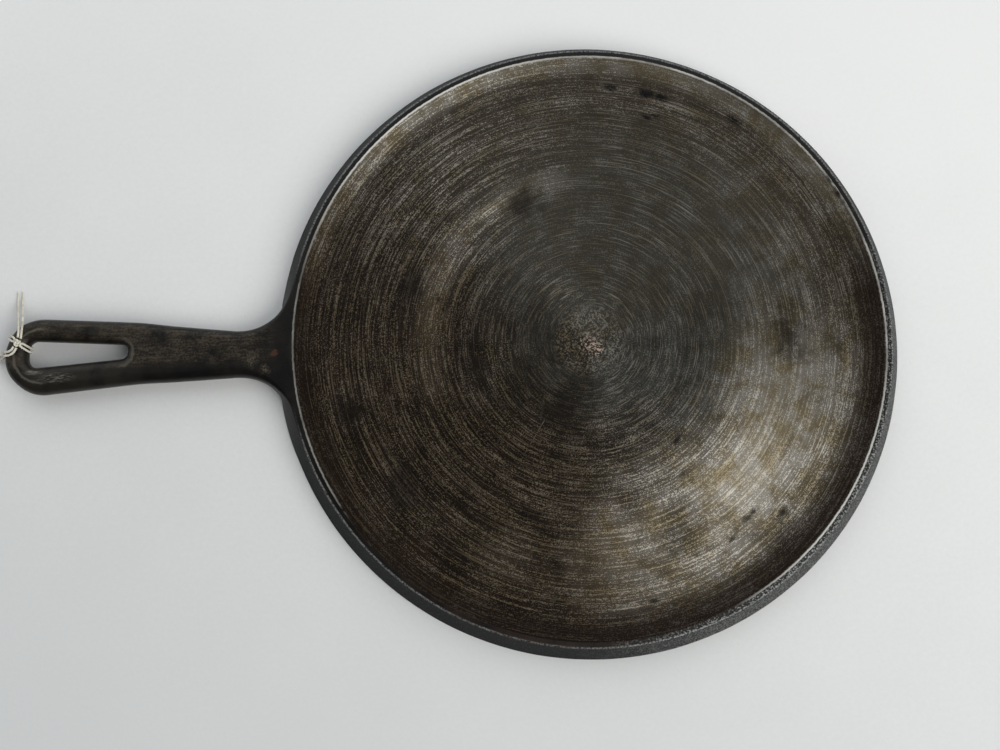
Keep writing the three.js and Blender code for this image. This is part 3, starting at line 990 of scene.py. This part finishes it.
def turned_iron():
    """The turned cooking surface: fine rings, bare metal gleam and mottled brown seasoning; painted shade in
    the near corner and to the lower left, painted highlights under and on the lip, and painted sheen in the
    worn and tan patches.
    """
    iron = IronShader("turned_iron")
    place, radius = iron.place, iron.radius
    fine = iron.ring_noise(spread=4.0, pitch=0.55, detail=2.0, roughness=0.65)
    strokes = iron.ring_noise(spread=2.6, pitch=1.2, detail=3.0, roughness=0.7)
    flecks = iron.ring_noise(spread=70.0, pitch=0.8, detail=2.0, roughness=0.7)
    threads = iron.ring_noise(spread=3.0, pitch=0.5, detail=1.0, roughness=0.5).rise(0.6, 0.7)
    bands = iron.ring_noise(spread=1.3, pitch=8.0, detail=3.0)
    blotches = iron.noise(place, 0.02, 4.0, 0.6, 0.6)
    mottle = iron.noise(place, 0.08, 4.0, 0.62, 0.3)
    grain = iron.noise(place, 2.0, 2.0, 0.6)
    tone = mottle.rise(0.36, 0.66)
    near_side = iron.facing(NEAR, -0.55, -0.1)
    # Towards the lower left the dish is darker brown, with darker and duller bare metal: painted shade, with
    # seasoning build-up.
    left_shade = iron.facing(LEFT, 0.1, 0.75)

    from_slate = iron.vector("LENGTH", iron.vector("SUBTRACT", place, SLATE_MIDDLE))
    seasoned = (from_slate + blotches.swing(60.0)).rise(*SLATE_EDGE)
    patina = iron.blend(seasoned, iron.blend(tone, *SLATE), iron.blend(tone, *BROWN))
    patina = iron.blend(iron.facing(FAR, 0.1, 0.9) * 0.45, patina, FAR_BROWN)
    # Darker brown in the corner over the near half: seasoning build-up, and painted shade where the curved
    # corner faces away from the lamp.
    burnt_and_shade = radius.rise(*BURNT_AND_SHADED_CORNER) * near_side
    patina = iron.blend(burnt_and_shade * 0.7, patina, BURNT_AND_SHADE_BROWN)
    patina = iron.blend(grain.rise(0.5, 0.72) * 0.2, patina, SPECK_GREY)
    patina = iron.blend(left_shade * 0.4, patina, LEFT_SHADE_BROWN)
    clouds = iron.marks(DISH_CLOUDS, pitch=9.0, raggedness=1.6, softness=0.9, stretch=1.4)
    patina = iron.blend(clouds * 0.6, patina, CLOUD_BLACK)
    spots = iron.marks(DISH_SPOTS, pitch=2.6, raggedness=1.4, softness=0.85, stretch=2.3)
    spots = spots * flecks.rise(0.15, 0.4)
    patina = iron.blend(spots * 0.95, patina, SPOT_BLACK)

    # Covered: dark seasoning clouds and spots, plus the painted shade of the near corner and the lower left;
    # less bare metal and rougher there.
    covered = iron.most(clouds, spots, burnt_and_shade, left_shade * 0.5)
    # Worn bare metal; the lower-right and upper-left patches also serve as a painted gleam.
    wear_and_gleam = iron.most(*(iron.ring_patch(*patch) * share for *patch, share in WORN_AND_GLEAM_PATCHES))
    # Bare metal under the lip on the far half: wear, and a painted highlight where the curved corner faces
    # the lamp.
    under_lip_wear_and_highlight = radius.rise(*UNDER_LIP) * (1 - near_side) * (bands * 0.8 + 0.1)
    wear_and_gleam = iron.most(wear_and_gleam * blotches.rise(0.25, 0.6), under_lip_wear_and_highlight)
    lines = fine * 0.4 + strokes * 0.28 + flecks * 0.32 + grain.swing(0.48)
    tan = iron.marks(TAN_PATCHES, pitch=6.0, raggedness=1.4, softness=0.9, stretch=1.8)
    open_share = bands * 0.24 + 0.1 + seasoned * 0.35 + tan * 0.3
    open_share = open_share * iron.level(iron.facing(FAR_RIGHT, 0.2, 0.9), 1.0, 0.72)
    bare = lines.rise(0.5, 0.63) * (open_share + wear_and_gleam * 0.8) + wear_and_gleam * 0.46
    bare = iron.most(bare, threads * bands * 0.52) * (1 - covered * 0.8)
    bare = iron.most(bare, scratches(iron) * 0.35)

    middle = radius.rise(*STIPPLED_MIDDLE)
    rubbed = iron.marks(RUBBED_MIDDLE, pitch=4.0, raggedness=1.4, softness=0.9)
    stipple = iron.noise(place, 1.0, 2.0, 0.65).rise(0.5, 0.6) * (rubbed * 0.7 + 0.3) * middle
    bare = iron.most(bare, stipple)
    metal = iron.blend(mottle.rise(0.35, 0.65), *METAL)
    metal = iron.blend(left_shade * 0.6, metal, LEFT_SHADE_METAL)
    metal = iron.blend(rubbed * middle, metal, MIDDLE_METAL)
    # The lip: worn bare edge with a painted highlight.
    lip = lip_wear_and_highlight(iron) * (1 - spots)
    dull = iron.most(lip, left_shade * 0.8)
    roughness = iron.level(radius.rise(*DULL_MIDDLE), 0.72, 0.48)
    iron.set(Base_Color=iron.blend(lip, iron.blend(bare, patina, metal), LIP_METAL_AND_HIGHLIGHT))
    iron.set(Metallic=iron.level(bare, 0.05, 0.95) * (1 - dull))
    iron.set(Specular_IOR_Level=0.12)
    iron.set(Roughness=iron.level(covered, roughness, 0.82) + fine.swing(0.12))
    iron.set(Anisotropic=0.85)
    iron.set(Tangent=iron.direction)
    iron.set(Normal=iron.bump(fine + strokes * 0.8 + stipple * 2.0, 0.3, 0.12 * MM))
    return iron.material


# The outside of the casting: zones along x or the radius in millimetres, and colours.
PLATE_SIDE = (-147.0, -138.0)
WALL_SIDE = (-156.0, -140.0)
BARS = (-215.0, -235.0)
HANDLE_TOP = (-152.0, -166.0)
HANDLE_LIT_SIDE = (-9.0, -3.0)
LIT_WALL = (-35.0, 68.0, 152.0, 12.0)
REDDISH_RIM = (-107.0, 28.0, 148.0, 3.0)
EYE_RIDGE_RADIUS = 7.0
EYE_RIDGE_MIDDLE = ((END_BAR_WIDTH - HANDLE_REACH + EYE_LENGTH) / MM - EYE_RIDGE_RADIUS / 2, 0.6)
CREST_RADIUS = (END_RADIUS - END_BAR_WIDTH / 2) / MM
CREST_MIDDLE = (END_CENTRE / MM, 0.0)
BLACK_SKIN = (rgb(8, 7, 6), rgb(18, 15, 12))
DARK_GREY = (rgb(12, 13, 14), rgb(46, 49, 50))
LIGHT_GREY = (rgb(30, 31, 31), rgb(132, 134, 132))
UNDER_GREY = (rgb(24, 22, 20), rgb(50, 46, 41))
RIM_GREY = rgb(150, 152, 150)
EDGE_HIGHLIGHT_GREY = rgb(140, 142, 140)
FOOT_GREY = rgb(96, 94, 90)
REDDISH = rgb(42, 28, 20)
BAR_BROWN = rgb(36, 33, 28)
STRIP_BROWN = rgb(70, 62, 50)
SCUFF_AND_HIGHLIGHT_GREY = rgb(128, 124, 112)
RUST = rgb(72, 46, 31)
CRUST = rgb(94, 87, 73)


def ragged_arc(iron, centre, radius, scale, raggedness, edge, stretch):
    """1 along a ragged arc about a centre, over a stretch of x measured from there, 0 off it; millimetres."""
    offset = iron.vector("SUBTRACT", iron.place, (*centre, 0.0))
    reach = iron.vector("LENGTH", iron.vector("MULTIPLY", offset, FLAT))
    ragged = reach + iron.noise(iron.place, scale, 3.0).swing(raggedness)
    return abs(ragged - radius).rise(*edge) * iron.split(offset)[0].rise(*stretch)


def cast_iron():
    """The as-cast outside: black and grey seasoned skin, grainy, worn brown along the handle; painted light
    on the wall's lit stretch and the handle's upper side, and painted highlights on the rim's outer edge, the
    bars' crests, around the eye and on the lip.
    """
    iron = IronShader("seasoned_cast_iron")
    place, radius = iron.place, iron.radius
    x, y, z = iron.split(place)
    upright = iron.split(iron.add("ShaderNodeNewGeometry").outputs["Normal"])[2]
    grain = iron.noise(place, 1.1, 4.0, 0.65)
    mottle = iron.noise(place, 0.12, 4.0, 0.6)

    on_wall = upright.rise(0.7, 0.3) * radius.rise(RIM - 1.2, RIM - 0.2) * x.rise(*WALL_SIDE)
    # Lighter grey on the stretch of wall that faces the window, with random mottle: painted light.
    wall_light = iron.ring_patch(*LIT_WALL) + mottle.swing(0.8)
    dark_grey = iron.blend(grain.rise(0.4, 0.68), *DARK_GREY)
    light_grey = iron.blend(grain.rise(0.42, 0.64), *LIGHT_GREY)
    grey = iron.blend(wall_light.rise(0.0, 0.9), dark_grey, light_grey)
    colour = iron.blend(on_wall, iron.blend(mottle.rise(0.35, 0.65), *BLACK_SKIN), grey)
    plate_side = x.rise(*PLATE_SIDE)
    # Grey specks on the rim top, kept to the lit stretch of the wall: partly painted light.
    rim_top = upright.rise(0.7, 0.95) * plate_side * grain.rise(0.5, 0.64) * wall_light.rise(0.1, 0.8)
    colour = iron.blend(rim_top, colour, RIM_GREY)
    # Painted highlight: a thin, broken pale line along the rim's rounded outer edge.
    edge = radius.rise(RIM - 1.2, RIM - 0.8) * radius.rise(RIM + 0.1, RIM - 0.3)
    edge = edge * grain.rise(0.36, 0.6) * plate_side * upright.rise(0.0, 0.3)
    colour = iron.blend(edge * 0.75, colour, EDGE_HIGHLIGHT_GREY)

    below = upright.rise(-0.3, -0.8)
    colour = iron.blend(below, colour, iron.blend(mottle.rise(0.3, 0.7), *UNDER_GREY))
    foot_worn = below * z.rise(0.8, 0.2) * grain.rise(0.35, 0.6)
    colour = iron.blend(foot_worn * 0.7, colour, FOOT_GREY)
    reddish = iron.ring_patch(*REDDISH_RIM) * mottle.rise(0.3, 0.6)
    colour = iron.blend(reddish * 0.7, colour, REDDISH)

    colour = iron.blend(x.rise(*BARS) * mottle.rise(0.2, 0.6) * 0.8, colour, BAR_BROWN)
    drawn = iron.noise(iron.vector("MULTIPLY", place, (0.16, 1.0, 1.0)), 1.2, 4.0, 0.7)
    streaks = grain * 0.5 + drawn * 0.5
    # Brown streaks on the top of the handle, kept to its upper side: worn streaks, with painted light from
    # the far side.
    strip = upright.rise(0.55, 0.95) * x.rise(*HANDLE_TOP) * y.rise(*HANDLE_LIT_SIDE)
    colour = iron.blend(strip * streaks.rise(0.4, 0.62) * mottle.rise(0.25, 0.6), colour, STRIP_BROWN)
    rubs = iron.noise(iron.vector("MULTIPLY", place, (0.3, 1.8, 1.0)), 1.0, 3.0, 0.7)
    scuffs = iron.marks(HANDLE_SCUFFS, pitch=4.0, raggedness=0.6, softness=0.95, stretch=0.3)
    scuffs = scuffs * rubs.rise(0.42, 0.72)
    # Along the crests of the bars: a worn line with a painted highlight. Around the eye's narrow end: a
    # painted highlight standing for a raised rim.
    crest_wear_and_highlight = ragged_arc(iron, CREST_MIDDLE, CREST_RADIUS, 0.35, 1.6, (0.9, 0.2), (4.0, -2.0))
    eye_ridge_highlight = ragged_arc(iron, EYE_RIDGE_MIDDLE, EYE_RIDGE_RADIUS, 0.4, 2.0, (1.1, 0.3), (-2.0, 3.0))
    # Scuffs, together with the painted highlights of the crests and around the eye.
    worn = iron.most(scuffs, crest_wear_and_highlight * 0.3, eye_ridge_highlight * 0.22) * upright.rise(0.3, 0.7)
    colour = iron.blend(worn, colour, SCUFF_AND_HIGHLIGHT_GREY)
    rust = iron.marks(RUST_MARKS, pitch=1.3, raggedness=1.8, softness=0.5)
    colour = iron.blend(rust * 0.8, colour, RUST)
    crust = iron.marks(CRUST_MARKS, pitch=3.0, raggedness=1.2, softness=0.9)
    colour = iron.blend(crust * grain.rise(0.38, 0.62) * 0.65, colour, CRUST)
    # The lip: worn bare edge with a painted highlight.
    iron.set(Base_Color=iron.blend(lip_wear_and_highlight(iron), colour, LIP_METAL_AND_HIGHLIGHT))
    iron.set(Metallic=0.05)
    iron.set(Specular_IOR_Level=0.25)
    iron.set(Roughness=iron.level(on_wall, iron.level(mottle, 0.26, 0.46), 0.85))
    iron.set(Normal=iron.bump(grain + mottle * 1.5, 0.35, 0.3 * MM))
    return iron.material


COTTON = (rgb(226, 222, 208), rgb(186, 180, 162))


def cotton():
    """Off-white cotton with a little fuzz and soil."""
    thread = Shader("twisted_cotton")
    fuzz = thread.noise(thread.place, 2600.0, 3.0, 0.6)
    soil = thread.noise(thread.place, 160.0, 3.0, 0.6)
    thread.set(Base_Color=thread.blend(soil.rise(0.35, 0.7), *COTTON))
    thread.set(Roughness=0.95)
    thread.set(Sheen_Weight=0.3)
    thread.set(Normal=thread.bump(fuzz, 0.5, 0.2 * MM))
    return thread.material


def assign_iron(piece):
    """The turned iron inside the lip and over the plate, the cast iron everywhere else."""
    piece.data.materials.append(cast_iron())
    piece.data.materials.append(turned_iron())
    for face in piece.data.polygons:
        centre = face.center - Vector((PLATE_X, 0, 0))
        inside = math.hypot(centre.x, centre.y) < LIP_RADIUS
        if inside and centre.z > (SURFACE_HEIGHT + UNDERSIDE_HEIGHT) / 2:
            face.material_index = 1


assign_iron(griddle)
cotton_material = cotton()
string_ends = (string_loop, string_tail_left, string_tail_right)
string_pieces = (*string_ends, string_turn_upper, string_turn_lower, string_knot)
for piece in string_pieces:
    piece.data.materials.append(cotton_material)


# Floor and light, in metres. The floor's painted falloff of light gives way to a plain pale floor far from
# the griddle.
FLOOR_SIZE = 40.0
FLOOR_PALE_FROM = (0.9, 2.2)
FLOOR_PALE = rgb(240, 241, 241)
FLOOR_PALE_STRENGTH = 0.82
FLOOR_UNDER_PALE = rgb(20, 20, 20)
FLOOR_FALLOFF_SHADES = (rgb(217, 219, 219), rgb(248, 249, 248))
FLOOR_FALLOFF_SLOPE = (0.3, 1.0, 0.0)


def floor_paper():
    """White paper, greyer towards the near left as a painted falloff of light, with a faint grain, and pale
    up to the horizon.
    """
    paper = Shader("pale_paper")
    cloud = paper.noise(paper.place, 9.0, 4.0, 0.6)
    grain = paper.noise(paper.place, 420.0, 3.0, 0.6)
    # Painted shade: the paper gets greyer towards the near left, as light falling off away from the window.
    far = paper.vector("DOT_PRODUCT", paper.place, FLOOR_FALLOFF_SLOPE)
    shade = far + cloud.swing(0.16) + grain.swing(0.12)
    away = paper.vector("LENGTH", paper.place).rise(*FLOOR_PALE_FROM)
    near = paper.blend(shade.rise(-0.3, 0.3), *FLOOR_FALLOFF_SHADES)
    rays = paper.add("ShaderNodeLightPath").outputs
    seen = paper.most(rays["Is Camera Ray"], rays["Is Glossy Ray"], rays["Is Transmission Ray"])
    paper.set(Base_Color=paper.blend(away, near, FLOOR_UNDER_PALE))
    paper.set(Roughness=0.85)
    paper.set(Normal=paper.bump(grain, 0.15, 0.4 * MM))
    paper.set(Emission_Color=FLOOR_PALE)
    paper.set(Emission_Strength=seen * away * FLOOR_PALE_STRENGTH)
    return paper.material


def make_floor():
    half = FLOOR_SIZE / 2
    rows = [[Vector((x, y, 0)) for x in (-half, half)] for y in (-half, half)]
    floor = piece_from_patches("floor", [rows])
    floor.data.materials.append(floor_paper())


SURROUND_HEADING = (0.6, 0.8, -0.5)
SURROUND_RANGE = {"From Min": -0.7, "From Max": 0.7, "To Min": 0.1, "To Max": 0.6}
SURROUND_COLOUR = (0.94, 0.97, 1.0, 1.0)


def make_world():
    """A surround that is dim overhead and lighter low down on the right and the far side."""
    world = bpy.data.worlds.new("studio")
    world.use_nodes = True
    tree = world.node_tree
    background = tree.nodes["Background"]
    background.inputs["Color"].default_value = SURROUND_COLOUR
    side = tree.nodes.new("ShaderNodeVectorMath")
    side.operation = "DOT_PRODUCT"
    side.inputs[1].default_value = SURROUND_HEADING
    tree.links.new(tree.nodes.new("ShaderNodeTexCoord").outputs["Generated"], side.inputs[0])
    level = tree.nodes.new("ShaderNodeMapRange")
    level.interpolation_type = "SMOOTHSTEP"
    for key, value in SURROUND_RANGE.items():
        level.inputs[key].default_value = value
    tree.links.new(side.outputs["Value"], level.inputs["Value"])
    tree.links.new(level.outputs["Result"], background.inputs["Strength"])
    bpy.context.scene.world = world


# Soft windows: place and aim about the middle of the plate, size in metres, power in watts, and colour.
WARM = (1.0, 0.99, 0.96)
COOL = (0.97, 0.98, 1.0)
WINDOWS = {
    "window": ((0.84, -0.75, 1.14), (0, 0, 0), 1.4, 18.8, WARM),
    "far_window": ((0.1, 1.4, 1.5), (0, 0.1, 0), 2.2, 8, COOL),
    "side_window": ((-1.3, 0.8, 1.0), (0, 0, 0), 2.0, 7, COOL),
}


def make_windows():
    for name, (place, aim, size, power, colour) in WINDOWS.items():
        light_data = bpy.data.lights.new(name, "AREA")
        light_data.shape = "DISK"
        light_data.size = size
        light_data.energy = power
        light_data.color = colour
        light = bpy.data.objects.new(name, light_data)
        bpy.context.collection.objects.link(light)
        light.location = Vector(place) + Vector((PLATE_X, 0, 0))
        light.rotation_euler = (Vector(aim) - Vector(place)).to_track_quat("-Z", "Y").to_euler()


make_floor()
make_world()
make_windows()
bpy.context.scene.view_settings.view_transform = "Standard"

for piece in (griddle, *string_pieces):
    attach(piece, "root")
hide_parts("griddle_casting")
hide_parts("string_loop")
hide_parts("string_tail_left")
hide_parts("string_tail_right")
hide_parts("string_turn_upper")
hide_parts("string_turn_lower")
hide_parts("string_knot")


def declare_string(path):
    route_length(path)


declare_string(loop_path)
declare_string(tail_left_path)
declare_string(tail_right_path)
